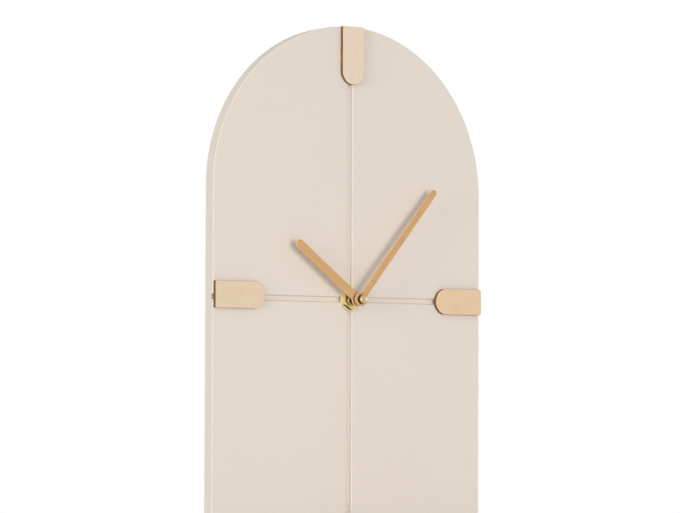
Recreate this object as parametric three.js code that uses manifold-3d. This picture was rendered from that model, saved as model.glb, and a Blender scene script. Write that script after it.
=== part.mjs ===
// Arch-topped wall clock: a painted board with wooden hour markers and hands on a quartz movement.
// Millimetres. The pieces are made in the dial's own frame: x right, y up, z out from the wall, with the
// hands turning about the z axis and the wall in the plane z = 0. The finished group is turned so that
// +Z is up and the dial faces -Y.
import * as THREE from 'three';
import { mergeVertices } from 'three/addons/utils/BufferGeometryUtils.js';
import Module from 'manifold-3d';

const wasm = await Module();
wasm.setup();

// Clearances
const seat = 0.05; // between faces that touch
const running = 0.3; // round a turning pipe or arbor
const pivotPlay = 0.2; // round a pivot in its hole
const handPlay = 0.1; // between a hand and its pipe

// Board
const boardWidth = 240;
const boardTop = 200; // dial centre to the crown of the arch
const boardBottom = 200; // dial centre to the lower edge
const boardThickness = 10;
const boardEdgeRound = 0.6;
const grooveWidth = 3.8;
const grooveDepth = 2.1;
const grooveCorner = 0.8; // round of the groove's bottom corners
const pocketWeb = 4; // what the pocket in the back leaves of the board
const pocketClearance = 2;
const pocketCorner = 5;
const boardHolePlay = 0.25;

// Hour markers
const markerWidth = 19.2;
const markerLength = 42.6;
const markerThickness = 2.8;
const markerInset = 0.6; // outer ends of the markers at six and nine to the board's edge
const markers = [
  { name: 'marker_12', turn: 0, reach: boardTop, aside: 0.7, corner: 0.6 },
  { name: 'marker_3', turn: -90, reach: boardWidth / 2, aside: -0.2, corner: 1.5 },
  { name: 'marker_6', turn: 180, reach: boardBottom - markerInset, aside: 0, corner: 1.5 },
  { name: 'marker_9', turn: 90, reach: boardWidth / 2 - markerInset, aside: 1.6, corner: 0.6 },
];

// Hands, at the time that the clock shows
const handThickness = 2;
const hubRadius = 5;
const hourLength = 67;
const hourWidth = 6.4;
const hourTurn = -52.4; // degrees clockwise from twelve
const hourLean = 1.5; // degrees that the stick leans back towards the board
const minuteLength = 108.9;
const minuteWidth = 4.7;
const minuteTurn = 41.1; // degrees clockwise from twelve
const minuteLean = 2.6; // degrees that the stick leans back towards the board
const handGap = 1.7; // hour hand to minute hand
const bushToHour = 4.4; // end of the threaded bush to the hour hand

// Fastening on the dial
const threadRadius = 3.95;
const threadReach = 4.6; // beyond the board's face
const bushWall = 1.15;
const collarStep = 0.65; // collar beyond the thread
const washerRadius = 8.5;
const washerThickness = 0.6;
const nutAcrossFlats = 13.2;
const nutThickness = 3;
const nutTurn = 2; // degrees clockwise
const gasketRadius = 9;
const gasketThickness = 0.5;
const capRadius = 3.1;
const capLength = 3.5;
const capNeck = 2.4; // radius behind the head
const capNeckLength = 1.7;
const capRound = 0.5;
const capRoof = 1;

// Arbors and pipes
const pipeWall = 0.6; // of the hour pipe
const centreSeat = 0.95;
const minutePivot = 0.6;
const trainArbor = 0.45;
const reductionArbor = 0.6;
const settingShaft = 0.9;
const pivotDepth = 0.6; // of a pivot in the case's front wall
const pinionOverlap = 0.2; // a pinion is this much wider than its wheel at each face
const arborRoom = 0.4; // between an arbor and a wheel that passes it

// Teeth: heights in modules, widths as shares of the angular pitch
const wheelTooth = { addendum: 0.8, dedendum: 1.0, root: 0.5, tip: 0.2 };
const leafTooth = { addendum: 0.6, dedendum: 1.15, root: 0.34, tip: 0.16 };
const pinionTooth = { addendum: 0.7, dedendum: 1.1, root: 0.42, tip: 0.18 };
const motionModule = 0.4;
const trainModule = 0.26;
const teeth = {
  centreWheel: 48,
  thirdPinion: 6,
  thirdWheel: 45,
  secondPinion: 6,
  secondWheel: 30,
  intermediatePinion: 6,
  intermediateWheel: 36,
  rotorPinion: 6,
  minutePinion: 10,
  reductionWheel: 30,
  reductionPinion: 8,
  hourWheel: 32,
  settingPinion: 12,
};

// Directions from each arbor to the next, in degrees from the x axis
const reductionBearing = 135;
const settingBearing = 150;
const thirdBearing = 30;
const secondBearing = 10;
const intermediateBearing = 60;
const rotorBearing = 125;

// Movement case, from the wall outwards
const coverThickness = 1.5;
const bridgeThickness = 1.2;
const trainGap = 1; // bridge to the first wheel
const layerGap = 0.8;
const trainWheel = 0.8;
const motionWheel = 1.2;
const frontRoom = 0.9; // hour wheel to the front wall
const frontWall = 1.5;
const caseWall = 1.5;
const caseCorner = 3;
const cavityBelow = 10.5; // dial centre to the partition above the battery
const partition = 1.5;
const postRadius = 1.4;
const postInset = 0.5; // post to the side walls
const bridgeInset = 1.5; // bridge to the side walls

// Battery and its bay
const batteryRadius = 7.1;
const batteryLength = 50.5;
const nubRadius = 2.7;
const nubLength = 1.2;
const bayPlay = 0.3;
const bayEndRoom = 1.55; // at each end of the battery
const bayWall = 1.2;
const bayFloor = 0.8;
const batterySunk = 0.5; // least distance of the battery from the wall
const contactThickness = 0.4;
const contactInset = 1.2; // contact to the bay's floor and top
const stripWidth = 2.5;

// Coil, stator and rotor
const magnetRadius = 2.4;
const magnetThickness = 1.8;
const rotorHub = 0.7;
const rotorGap = 0.6;
const statorRing = 1.2;
const statorThickness = 0.8;
const statorLift = 1.6; // bridge to stator
const statorReach = 9.6; // rotor axis to the outer edge of each leg
const legRoom = 0.5; // leg to the post beside it
const legWidth = 2.6;
const coreThickness = 0.8;
const coreWidth = 2.4;
const coilLength = 13.6;
const coilHeight = 6.4;
const coilThickness = 4.6;
const coilAbove = 0.9; // stator ring to the coil
const coilRoom = 0.9; // coil to the top wall
const flangeThickness = 1;
const bobbinWall = 0.6;
const windingInset = 0.5; // winding below the flange's edge
const stakeRadius = 0.55;
const stakeShoulder = 1.2;
const stakeHead = 0.4; // stake beyond the core

// Circuit board
const boardGauge = 1;
const circuitWidth = 24.5;
const circuitRoom = 1.9; // between the circuit board and the knob's well
const circuitHeight = 12.4;
const chipRadius = 2.6;
const chipHeight = 1;
const crystalRadius = 1;
const crystalLength = 6;
const crystalRoom = 0.4; // crystal to the rear cover

// Setting knob and hanger
const knobRadius = 5;
const knobThickness = 2.1;
const knobRecess = 0.5; // below the wall plane
const knobRibs = 20;
const ribDepth = 0.35;
const wellPlay = 1;
const wellWall = 1;
const wellFloor = 1;
const hangerWidth = 24;
const hangerHeight = 14;
const hangerThickness = 3;
const hangerHoleWidth = 11;
const hangerHoleHeight = 7.5;
const hangerRim = 3; // above the hole

// Pipes, from the thread inwards
const bushBore = threadRadius - bushWall;
const hourPipe = bushBore - running;
const minuteArbor = hourPipe - pipeWall - running;
const bushCollar = threadRadius + collarStep;
const clampHole = threadRadius + boardHolePlay;

// Depths, as distances from the wall
const wellDepth = knobRecess + knobThickness + wellPlay / 2;
const circuitStack = boardGauge + 2 * crystalRadius + 2 * seat;
const bridgeBack = Math.max(coverThickness + crystalRoom + circuitStack, wellDepth + wellFloor + running);
const bridgeFront = bridgeBack + bridgeThickness;
const thirdLayer = bridgeFront + trainGap;
const centreLayer = thirdLayer + trainWheel + layerGap;
const motionLayer = centreLayer + trainWheel + layerGap;
const hourLayer = motionLayer + motionWheel + layerGap;
const trainDepth = hourLayer + motionWheel + frontRoom + frontWall;
const bayDepth = batterySunk + 2 * batteryRadius + bayPlay + bayFloor;
const caseDepth = Math.max(trainDepth, bayDepth);
const frontInside = caseDepth - frontWall;
const rimDepth = coverThickness + seat;
const gasketBack = caseDepth + seat;
const pocketFloor = gasketBack + gasketThickness + seat;
const boardFace = pocketFloor + pocketWeb;
const boardBack = boardFace - boardThickness;
const markerBack = boardFace + seat;
const washerBack = boardFace + seat;
const nutBack = washerBack + washerThickness + seat;
const bushEnd = boardFace + threadReach;
const hourBack = bushEnd + bushToHour;
const hourFront = hourBack + handThickness;
const minuteBack = hourFront + handGap;
const minuteFront = minuteBack + handThickness;
const capBack = minuteFront + seat;
const capFront = capBack + capLength;
const pivotEnd = frontInside + pivotDepth;
const pivotBack = bridgeBack + pivotDepth / 2;
const statorBack = bridgeFront + statorLift;
const coreBack = statorBack + statorThickness + seat;
const coilAxis = coreBack + coreThickness / 2;
const circuitFront = bridgeBack - seat;
const circuitBack = circuitFront - boardGauge;
const stripFront = circuitBack - seat;
const stripBack = stripFront - contactThickness;

// Places of the arbors in the dial's plane
const degrees = Math.PI / 180;
function meshDistance(module, a, b) {
  return (module * (a + b)) / 2;
}
function along(from, distance, bearing) {
  const step = new THREE.Vector2(Math.cos(bearing * degrees), Math.sin(bearing * degrees));
  return step.multiplyScalar(distance).add(from);
}
function tipRadius(module, count, tooth) {
  return module * (count / 2 + tooth.addendum);
}
const centre = new THREE.Vector2(0, 0);
const motionDistance = meshDistance(motionModule, teeth.minutePinion, teeth.reductionWheel);
const settingDistance = meshDistance(motionModule, teeth.reductionWheel, teeth.settingPinion);
const secondDistance = meshDistance(trainModule, teeth.thirdWheel, teeth.secondPinion);
const rotorDistance = meshDistance(trainModule, teeth.intermediateWheel, teeth.rotorPinion);

// The third arbor clears the hour wheel, its wheel clears the minute arbor, and the second arbor clears the
// intermediate wheel: their distances give the modules of the two pairs between them
const thirdDistance = arborRoom + Math.max(
  trainArbor + tipRadius(motionModule, teeth.hourWheel, wheelTooth),
  minutePivot + tipRadius(trainModule, teeth.thirdWheel, wheelTooth),
);
const centreModule = (2 * thirdDistance) / (teeth.centreWheel + teeth.thirdPinion);
const intermediateTip = tipRadius(trainModule, teeth.intermediateWheel, wheelTooth);
const intermediateDistance = arborRoom + trainArbor + intermediateTip;
const secondModule = (2 * intermediateDistance) / (teeth.secondWheel + teeth.intermediatePinion);
const reductionAt = along(centre, motionDistance, reductionBearing);
const settingAt = along(reductionAt, settingDistance, settingBearing);
const thirdAt = along(centre, thirdDistance, thirdBearing);
const secondAt = along(thirdAt, secondDistance, secondBearing);
const intermediateAt = along(secondAt, intermediateDistance, intermediateBearing);
const rotorAt = along(intermediateAt, rotorDistance, rotorBearing);

// Outline of the case in the dial's plane
const rotorHole = magnetRadius + rotorGap;
const ringRadius = rotorHole + statorRing;
const coilY = rotorAt.y + ringRadius + coilAbove + coilHeight / 2;
const cavityTop = coilY + coilHeight / 2 + coilRoom;
const caseTop = cavityTop + caseWall;
const bayTop = -cavityBelow - partition;
const batteryY = bayTop - bayPlay - batteryRadius;
const bayBottom = batteryY - batteryRadius - bayPlay;
const caseBottom = bayBottom - bayWall;
const batteryZ = caseDepth - bayFloor - bayPlay - batteryRadius;
const bayHalf = batteryLength / 2 + bayEndRoom;
const wellOuter = knobRadius + wellPlay + wellWall;
const wellEdge = wellOuter + running;
const postRow = 2 * postRadius + postInset + caseWall; // post and wall at each side
const caseHalf = Math.max(
  bayHalf + bayWall,
  rotorAt.x + statorReach + legRoom + postRow,
  wellEdge - settingAt.x + stripWidth + running + postRow,
);
const cavityHalf = caseHalf - caseWall;
const bridgeHalf = cavityHalf - bridgeInset;
const bridgeTop = cavityTop - bridgeInset / 2;
const bridgeBottom = -cavityBelow + bridgeInset / 2;
const postX = cavityHalf - postInset - postRadius;
const postPlaces = [
  [-postX, cavityTop - postInset - postRadius],
  [postX, cavityTop - postInset - postRadius],
  [-postX, 0],
  [postX, 0],
];
const stakes = [-1, 1].map((side) => [rotorAt.x + side * (statorReach - legWidth / 2), coilY]);

// Round pieces of this many sides
const fine = 40;
const medium = 24;
const small = 12;

// Solids: three.js geometry in, joined and cut, geometry out
function solid(geometry) {
  const bare = geometry.index ? geometry.toNonIndexed() : geometry;
  bare.deleteAttribute('normal');
  bare.deleteAttribute('uv');
  const merged = mergeVertices(bare, 1e-5);
  const triVerts = [];
  for (let i = 0; i < merged.index.count; i += 3) {
    const [a, b, c] = [0, 1, 2].map((k) => merged.index.getX(i + k));
    if (a !== b && b !== c && c !== a) triVerts.push(a, b, c);
  }
  const mesh = new wasm.Mesh({
    numProp: 3,
    vertProperties: merged.attributes.position.array,
    triVerts: new Uint32Array(triVerts),
  });
  return new wasm.Manifold(mesh);
}

function join(first, ...others) {
  return others.reduce((sum, other) => sum.add(other), first);
}

function cut(first, ...others) {
  return others.reduce((rest, other) => rest.subtract(other), first);
}

function prism(shape, back, front, curveSegments = 12) {
  const depth = front - back;
  const geometry = new THREE.ExtrudeGeometry(shape, { depth, bevelEnabled: false, curveSegments });
  return solid(geometry.translate(0, 0, back));
}

function box(x0, x1, y0, y1, z0, z1) {
  const geometry = new THREE.BoxGeometry(x1 - x0, y1 - y0, z1 - z0);
  return solid(geometry.translate((x0 + x1) / 2, (y0 + y1) / 2, (z0 + z1) / 2));
}

function rod(at, radius, back, front, sides = small) {
  const geometry = new THREE.CylinderGeometry(radius, radius, front - back, sides);
  geometry.rotateX(Math.PI / 2);
  return solid(geometry.translate(at.x, at.y, (back + front) / 2));
}

// A turned piece from its profile of [radius, depth] points, which starts and ends on the axis
function turned(profile, sides) {
  const points = profile.map(([radius, depth]) => new THREE.Vector2(radius, depth));
  const geometry = new THREE.LatheGeometry(points, sides);
  return solid(geometry.rotateX(Math.PI / 2));
}

function roundedRectangle(x0, x1, y0, y1, radius) {
  const shape = new THREE.Shape();
  shape.absarc(x1 - radius, y1 - radius, radius, 0, Math.PI / 2);
  shape.absarc(x0 + radius, y1 - radius, radius, Math.PI / 2, Math.PI);
  shape.absarc(x0 + radius, y0 + radius, radius, Math.PI, 1.5 * Math.PI);
  shape.absarc(x1 - radius, y0 + radius, radius, 1.5 * Math.PI, 2 * Math.PI);
  return shape;
}

function gearShape(count, module, phase, tooth) {
  const pitch = (module * count) / 2;
  const tip = pitch + tooth.addendum * module;
  const root = pitch - tooth.dedendum * module;
  const step = (2 * Math.PI) / count;
  const corners = [
    [root, -tooth.root],
    [tip, -tooth.tip],
    [tip, tooth.tip],
    [root, tooth.root],
  ];
  const points = [];
  for (let i = 0; i < count; i++) {
    for (const [radius, share] of corners) {
      const angle = phase + (i + share / 2) * step;
      points.push(new THREE.Vector2(radius * Math.cos(angle), radius * Math.sin(angle)));
    }
  }
  return new THREE.Shape(points);
}

function gear(at, count, module, phase, tooth, back, front) {
  return prism(gearShape(count, module, phase, tooth), back, front).translate([at.x, at.y, 0]);
}

// The phase that puts a gap of the second gear at a tooth of the first
function meshPhase(firstCount, firstPhase, firstAt, secondCount, secondAt) {
  const bearing = Math.atan2(secondAt.y - firstAt.y, secondAt.x - firstAt.x);
  const share = (firstCount * (bearing - firstPhase)) / (2 * Math.PI);
  return bearing + Math.PI - ((2 * Math.PI) / secondCount) * (0.5 - share);
}

// Finishes
function finish(color, roughness, metalness = 0) {
  return { color, roughness, metalness };
}
const creamPaint = finish(0xe1d7ca, 0.5);
const paleWood = finish(0xe2caa6, 0.6);
const tanWood = finish(0xd1a26e, 0.6);
const brass = finish(0xd8b25c, 0.3, 1);
const blackPlastic = finish(0x1c1c1e, 0.5);
const whitePlastic = finish(0xe8e6e0, 0.5);
const rubber = finish(0x202020, 0.9);
const steel = finish(0xb8bac0, 0.35, 1);
const copper = finish(0xb4622e, 0.4, 1);
const greenLaminate = finish(0x2f5d3a, 0.6);
const blackResin = finish(0x0e0e0e, 0.4);
const ferrite = finish(0x4a4a4e, 0.6, 0.5);
const batteryJacket = finish(0x4d6072, 0.4, 0.3);

const clock = new THREE.Group();
clock.name = 'wall_clock';

function piece(name, body, look, parent = clock) {
  const { vertProperties, triVerts } = body.getMesh();
  const geometry = new THREE.BufferGeometry();
  geometry.setAttribute('position', new THREE.BufferAttribute(vertProperties, 3));
  geometry.setIndex(new THREE.BufferAttribute(triVerts, 1));
  geometry.computeVertexNormals();
  const mesh = new THREE.Mesh(geometry, new THREE.MeshStandardMaterial(look));
  mesh.name = name;
  parent.add(mesh);
  return mesh;
}

// Board: arch-topped, rounded edges, a pocket for the movement and a cross of grooves
function boardOutline() {
  const half = boardWidth / 2;
  const shape = new THREE.Shape();
  shape.moveTo(-half, -boardBottom);
  shape.lineTo(half, -boardBottom);
  shape.absarc(0, boardTop - half, half, 0, Math.PI);
  return shape;
}

function groove(turn, length) {
  const half = grooveWidth / 2;
  const profile = roundedRectangle(-half, half, -grooveDepth, grooveDepth, grooveCorner);
  const bar = prism(profile, -length / 2, length / 2, 4);
  return bar.rotate([90, 0, turn]).translate([0, 0, boardFace]);
}

function faceBoard() {
  const blank = new THREE.ExtrudeGeometry(boardOutline(), {
    depth: boardThickness - 2 * boardEdgeRound,
    bevelThickness: boardEdgeRound,
    bevelSize: boardEdgeRound,
    bevelOffset: -boardEdgeRound,
    bevelSegments: 3,
    curveSegments: 48,
  });
  blank.translate(0, 0, boardBack + boardEdgeRound);
  const pocket = roundedRectangle(
    -caseHalf - pocketClearance,
    caseHalf + pocketClearance,
    caseBottom - pocketClearance,
    caseTop + pocketClearance,
    pocketCorner,
  );
  return cut(
    solid(blank),
    prism(pocket, boardBack - boardThickness, pocketFloor, 4),
    rod(centre, clampHole, boardBack, boardFace + boardThickness, fine),
    groove(0, 2 * (boardTop + boardBottom)),
    groove(90, 2 * boardWidth),
  );
}
piece('face_board', faceBoard(), creamPaint);

// Hour markers: round inner end, straight outer end at the board's edge
function markerOutline(corner) {
  const half = markerWidth / 2;
  const shape = new THREE.Shape();
  shape.absarc(0, half, half, Math.PI, 2 * Math.PI);
  shape.absarc(half - corner, markerLength - corner, corner, 0, Math.PI / 2);
  shape.absarc(corner - half, markerLength - corner, corner, Math.PI / 2, Math.PI);
  return shape;
}

for (const { name, turn, reach, aside, corner } of markers) {
  const carrier = new THREE.Group();
  carrier.rotation.z = turn * degrees;
  clock.add(carrier);
  const body = prism(markerOutline(corner), markerBack, markerBack + markerThickness);
  const marker = piece(name, body, paleWood, carrier);
  marker.position.set(aside, reach - markerLength, 0);
}

// Hands: a round hub and a straight stick with a round tip, which leans back towards the board
function stickOutline(length, width) {
  const half = width / 2;
  const shape = new THREE.Shape();
  shape.moveTo(-half, 0);
  shape.lineTo(half, 0);
  shape.absarc(0, length - half, half, 0, Math.PI);
  return shape;
}

function hand(name, length, width, holeRadius, back, turn, lean) {
  const half = handThickness / 2;
  const front = back + handThickness;
  const hub = rod(centre, hubRadius, back, front, fine);
  const stick = prism(stickOutline(length, width), -half, half, medium).rotate([-lean, 0, 0]);
  const hole = rod(centre, holeRadius, back - 1, front + 1, fine);
  const body = cut(join(hub, stick.translate([0, 0, back + half])), hole);
  const mesh = piece(name, body, tanWood);
  mesh.rotation.z = -turn * degrees;
}
hand('hour_hand', hourLength, hourWidth, hourPipe + handPlay, hourBack, hourTurn, hourLean);
hand('minute_hand', minuteLength, minuteWidth, minuteArbor + handPlay, minuteBack, minuteTurn, minuteLean);

// Fastening: gasket behind the board, washer and nut on its face
function ring(outer, inner, back, front, sides) {
  return cut(rod(centre, outer, back, front, sides), rod(centre, inner, back - 1, front + 1, sides));
}
const gasketFront = gasketBack + gasketThickness;
const washerFront = washerBack + washerThickness;
piece('rubber_gasket', ring(gasketRadius, clampHole, gasketBack, gasketFront, fine), rubber);
piece('brass_washer', ring(washerRadius, clampHole, washerBack, washerFront, fine), brass);

function hexNut() {
  const corner = nutAcrossFlats / Math.sqrt(3);
  const shape = new THREE.Shape();
  for (let i = 0; i < 6; i++) {
    const angle = (90 + 60 * i - nutTurn) * degrees;
    const point = [corner * Math.cos(angle), corner * Math.sin(angle)];
    if (i === 0) shape.moveTo(...point);
    else shape.lineTo(...point);
  }
  const thread = rod(centre, threadRadius + pivotPlay, nutBack - 1, nutBack + nutThickness + 1, fine);
  return cut(prism(shape, nutBack, nutBack + nutThickness), thread);
}
piece('hex_nut', hexNut(), brass);

// Threaded bush: its collar sits in the case's front wall
function threadedBush() {
  const body = turned(
    [
      [0, frontInside],
      [bushCollar, frontInside],
      [bushCollar, caseDepth],
      [threadRadius, caseDepth],
      [threadRadius, bushEnd],
      [0, bushEnd],
    ],
    fine,
  );
  return cut(body, rod(centre, bushBore, frontInside - 1, bushEnd + 1, fine));
}
piece('threaded_bush', threadedBush(), brass);

// Cap nut: a round head on a neck, closed in front, on the end of the minute arbor
const capFloor = capFront - capRoof;
const arborEnd = capFloor - running;
piece(
  'cap_nut',
  turned(
    [
      [0, capFloor],
      [minuteArbor + handPlay, capFloor],
      [minuteArbor + handPlay, capBack],
      [capNeck, capBack],
      [capNeck, capBack + capNeckLength],
      [capRadius, capBack + capNeckLength],
      [capRadius, capFront - capRound],
      [capRadius - capRound, capFront],
      [0, capFront],
    ],
    medium,
  ),
  brass,
);

// Movement case: front shell with the gear cavity, the battery bay and posts for the bridge
function partitionSlot(side) {
  const inner = side * (batteryLength / 2);
  const outer = side * bayHalf;
  const [x0, x1] = [Math.min(inner, outer), Math.max(inner, outer)];
  return box(x0, x1, bayTop - 1, -cavityBelow + 1, 0, bridgeBack);
}

function caseFront() {
  const outline = roundedRectangle(-caseHalf, caseHalf, caseBottom, caseTop, caseCorner);
  const shell = prism(outline, rimDepth, caseDepth, 4);
  const cavity = box(-cavityHalf, cavityHalf, -cavityBelow, cavityTop, 0, frontInside);
  const bay = box(-bayHalf, bayHalf, bayBottom, bayTop, 0, caseDepth - bayFloor);
  const posts = postPlaces.map(([x, y]) => {
    return rod({ x, y }, postRadius, bridgeFront + seat, frontInside + frontWall / 2);
  });
  const pivots = [
    [thirdAt, trainArbor],
    [secondAt, trainArbor],
    [intermediateAt, trainArbor],
    [rotorAt, trainArbor],
    [reductionAt, reductionArbor],
    [settingAt, settingShaft],
  ].map(([at, radius]) => rod(at, radius + pivotPlay, frontInside - 1, pivotEnd + seat));
  return cut(
    join(cut(shell, cavity, bay), ...posts),
    rod(centre, bushCollar + seat, frontInside - 1, caseDepth + 1, fine),
    partitionSlot(-1),
    partitionSlot(1),
    ...pivots,
  );
}
piece('case_front', caseFront(), blackPlastic);

// Rear cover: flat against the wall, with the knob's well, posts on the bridge and the hanger loop
function hangerLoop() {
  const half = hangerWidth / 2;
  const foot = caseTop + running;
  const crown = caseTop + hangerHeight;
  const shape = new THREE.Shape();
  shape.moveTo(-half, foot);
  shape.lineTo(half, foot);
  shape.lineTo(half, crown - half / 2);
  shape.quadraticCurveTo(half, crown, half / 2, crown);
  shape.lineTo(-half / 2, crown);
  shape.quadraticCurveTo(-half, crown, -half, crown - half / 2);
  return prism(shape, 0, hangerThickness, 6);
}

function hangerHole() {
  const half = hangerHoleWidth / 2;
  const top = caseTop + hangerHeight - hangerRim;
  const shape = new THREE.Shape();
  shape.moveTo(-half, top - hangerHoleHeight);
  shape.lineTo(half, top - hangerHoleHeight);
  shape.quadraticCurveTo(half, top, 0, top);
  shape.quadraticCurveTo(-half, top, -half, top - hangerHoleHeight);
  return prism(shape, -1, hangerThickness + 1, 6);
}

function caseBack() {
  const outline = roundedRectangle(-caseHalf, caseHalf, bayTop, caseTop, caseCorner);
  const plate = prism(outline, 0, coverThickness, 4);
  const half = hangerWidth / 2;
  const neck = box(-half, half, cavityTop, caseTop + 2 * running, 0, coverThickness);
  const posts = postPlaces.map(([x, y]) => {
    return rod({ x, y }, postRadius, coverThickness / 2, bridgeBack - seat);
  });
  const well = rod(settingAt, wellOuter, 0, wellDepth + wellFloor, medium);
  return cut(
    join(plate, neck, hangerLoop(), well, ...posts),
    hangerHole(),
    rod(settingAt, knobRadius + wellPlay, -1, wellDepth, medium),
    rod(settingAt, settingShaft + running, -1, bridgeBack, small),
  );
}
piece('case_back', caseBack(), blackPlastic);

// Bridge: carries the rear pivots, and the stakes that hold the stator and the coil's core
function trainBridge() {
  const plate = box(-bridgeHalf, bridgeHalf, bridgeBottom, bridgeTop, bridgeBack, bridgeFront);
  const stakeTop = coreBack + coreThickness + stakeHead;
  const pins = stakes.flatMap(([x, y]) => [
    rod({ x, y }, stakeShoulder, bridgeFront - bridgeThickness / 2, statorBack - seat),
    rod({ x, y }, stakeRadius, bridgeFront, stakeTop),
  ]);
  const pivots = [
    [centre, minutePivot],
    [thirdAt, trainArbor],
    [secondAt, trainArbor],
    [intermediateAt, trainArbor],
    [rotorAt, trainArbor],
    [reductionAt, reductionArbor],
    [settingAt, settingShaft],
  ].map(([at, radius]) => rod(at, radius + pivotPlay, bridgeBack - 1, bridgeFront + 1));
  return cut(join(plate, ...pins), ...pivots);
}
piece('train_bridge', trainBridge(), whitePlastic);

// Coil on its bobbin, core and stator
function statorPlate() {
  const left = rotorAt.x - statorReach;
  const right = rotorAt.x + statorReach;
  const foot = rotorAt.y - legWidth / 2;
  const waist = rotorAt.y + ringRadius;
  const crown = coilY + coreWidth / 2 + stakeRadius;
  const front = statorBack + statorThickness;
  const holes = stakes.map(([x, y]) => rod({ x, y }, stakeRadius + pivotPlay, statorBack - 1, front + 1));
  return cut(
    join(
      box(left, right, foot, waist, statorBack, front),
      box(left, left + legWidth, foot, crown, statorBack, front),
      box(right - legWidth, right, foot, crown, statorBack, front),
      rod(rotorAt, ringRadius, statorBack, front, medium),
    ),
    rod(rotorAt, rotorHole, statorBack - 1, front + 1, medium),
    ...holes,
  );
}
piece('stator', statorPlate(), steel);

function coilCore() {
  const half = coreWidth / 2;
  const front = coreBack + coreThickness;
  const left = rotorAt.x - statorReach;
  const right = rotorAt.x + statorReach;
  const bar = box(left, right, coilY - half, coilY + half, coreBack, front);
  const holes = stakes.map(([x, y]) => rod({ x, y }, stakeRadius + pivotPlay, coreBack - 1, front + 1));
  return cut(bar, ...holes);
}
piece('coil_core', coilCore(), steel);

const coilLeft = rotorAt.x - coilLength / 2;
const coilRight = rotorAt.x + coilLength / 2;

// A block along the coil's axis, with the same margin round the core on all four sides
function coilBlock(x0, x1, halfHeight, halfThickness) {
  const [z0, z1] = [coilAxis - halfThickness, coilAxis + halfThickness];
  return box(x0, x1, coilY - halfHeight, coilY + halfHeight, z0, z1);
}
const coreSlotHeight = coreWidth / 2 + pivotPlay;
const coreSlotThickness = coreThickness / 2 + pivotPlay;
const spoolHeight = coreSlotHeight + bobbinWall;
const spoolThickness = coreSlotThickness + bobbinWall;

function coilBobbin() {
  return cut(
    join(
      coilBlock(coilLeft, coilRight, spoolHeight, spoolThickness),
      coilBlock(coilLeft, coilLeft + flangeThickness, coilHeight / 2, coilThickness / 2),
      coilBlock(coilRight - flangeThickness, coilRight, coilHeight / 2, coilThickness / 2),
    ),
    coilBlock(coilLeft - 1, coilRight + 1, coreSlotHeight, coreSlotThickness),
  );
}
piece('coil_bobbin', coilBobbin(), whitePlastic);

function coilWinding() {
  const from = coilLeft + flangeThickness + seat;
  const to = coilRight - flangeThickness - seat;
  const outer = coilBlock(from, to, coilHeight / 2 - windingInset, coilThickness / 2 - windingInset);
  return cut(outer, coilBlock(from - 1, to + 1, spoolHeight + seat, spoolThickness + seat));
}
piece('coil_winding', coilWinding(), copper);

// Circuit board on the bridge's back, with the chip and the crystal
const circuitLeft = settingAt.x + wellOuter + circuitRoom;
const circuitRight = circuitLeft + circuitWidth;
const circuitBottom = bridgeTop - circuitHeight;
const circuitPlate = box(circuitLeft, circuitRight, circuitBottom, bridgeTop, circuitBack, circuitFront);
piece('circuit_board', circuitPlate, greenLaminate);

const chipAt = { x: (circuitLeft + circuitRight) / 2, y: (circuitBottom + bridgeTop) / 2 };
const chipFront = circuitBack - seat;

function chipCover() {
  const dome = turned(
    [
      [0, -chipHeight],
      [chipRadius * 0.6, -chipHeight * 0.85],
      [chipRadius, 0],
      [0, 0],
    ],
    medium,
  );
  return dome.translate([chipAt.x, chipAt.y, chipFront]);
}
piece('chip_cover', chipCover(), blackResin);

function quartzCrystal() {
  const x = circuitLeft + stripWidth + crystalRadius + crystalLength / 2;
  const y = circuitBottom + 2 * crystalRadius;
  const z = circuitBack - seat - crystalRadius;
  const geometry = new THREE.CylinderGeometry(crystalRadius, crystalRadius, crystalLength, small);
  return solid(geometry.rotateZ(Math.PI / 2).translate(x, y, z));
}
piece('quartz_crystal', quartzCrystal(), steel);

// Battery and its contacts: a leaf at each end of the bay, and a strip from it to the circuit board
function battery() {
  const half = batteryLength / 2;
  const shoulder = half - nubLength;
  const body = turned(
    [
      [0, -half],
      [batteryRadius, -half],
      [batteryRadius, shoulder],
      [nubRadius, shoulder],
      [nubRadius, half],
      [0, half],
    ],
    fine,
  );
  return body.rotate([0, 90, 0]).translate([0, batteryY, batteryZ]);
}
piece('aa_battery', battery(), batteryJacket);

// An upright leaf at one end of the bay, with a neck through the partition's slot
function contactLeaf(side) {
  const near = side * (batteryLength / 2 + running);
  const far = near + side * contactThickness;
  const [x0, x1] = [Math.min(near, far), Math.max(near, far)];
  const neckTop = -cavityBelow + stripWidth + 1;
  const leafFront = caseDepth - bayFloor - contactInset;
  return join(
    box(x0, x1, bayBottom + contactInset, bayTop - bayPlay, stripBack, leafFront),
    box(x0, x1, bayTop - 1, neckTop, stripBack, bridgeBack - running),
  );
}

function strip(x0, x1, y0, y1) {
  return box(x0, x1, y0, y1, stripBack, stripFront);
}
const stripFoot = -cavityBelow + 1;
const leafFar = batteryLength / 2 + running + contactThickness;
const positiveLeft = circuitRight - stripWidth / 2;

function contactPositive() {
  return join(
    contactLeaf(1),
    strip(positiveLeft, leafFar, stripFoot, stripFoot + stripWidth),
    strip(positiveLeft, positiveLeft + stripWidth, stripFoot, circuitBottom + stripWidth),
  );
}
piece('contact_positive', contactPositive(), steel);

const negativeRight = settingAt.x - wellEdge;
const negativeTop = settingAt.y + wellEdge + stripWidth;

function contactNegative() {
  return join(
    contactLeaf(-1),
    strip(-leafFar, negativeRight, stripFoot, stripFoot + stripWidth),
    strip(negativeRight - stripWidth, negativeRight, stripFoot, negativeTop),
    strip(negativeRight - stripWidth, circuitLeft + stripWidth, negativeTop - stripWidth, negativeTop),
  );
}
piece('contact_negative', contactNegative(), steel);

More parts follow.
